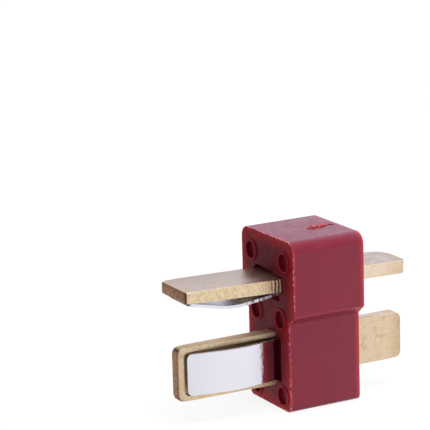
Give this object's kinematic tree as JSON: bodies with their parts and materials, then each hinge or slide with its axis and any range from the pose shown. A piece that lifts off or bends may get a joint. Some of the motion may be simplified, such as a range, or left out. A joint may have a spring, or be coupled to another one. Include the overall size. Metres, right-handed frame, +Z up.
{
  "type": "t plug battery connector",
  "caption": "Plug half of a T-shaped battery connector: red moulded housing, flat blades set crosswise, each with a leaf spring, and solder tabs behind.",
  "frame": {"origin": "centre of the housing's bottom end face, the narrow end, on which it stands", "axes": "+Z up along the row of contacts, -Y the way the blades point into the socket, +Y the way the solder tabs point, X across the housing's thickness"},
  "size_m": [0.0094, 0.0235, 0.016],
  "materials": {
    "housing": "satin moulded nylon",
    "blade": "thin pale gold plating, satin",
    "spring": "bright rolled"
  },
  "bodies": {
    "plug": {"housing": "housing", "positive_blade": "blade", "negative_blade": "blade"},
    "positive_leaf": {"positive_spring": "spring"},
    "negative_leaf": {"negative_spring": "spring"}
  },
  "joints": [
    {"name": "positive_leaf_flex", "type": "hinge", "parent": "plug", "child": "positive_leaf", "pos_m": [0, 0.00069, 0.01138], "axis": [-1, 0, 0], "range_deg": [0, 1.8], "stiffness_Nm_per_rad": 0.4},
    {"name": "negative_leaf_flex", "type": "hinge", "parent": "plug", "child": "negative_leaf", "pos_m": [0.00077, 0.0007, 0.0046], "axis": [0, 0, -1], "range_deg": [0, 1.8], "stiffness_Nm_per_rad": 0.4}
  ]
}
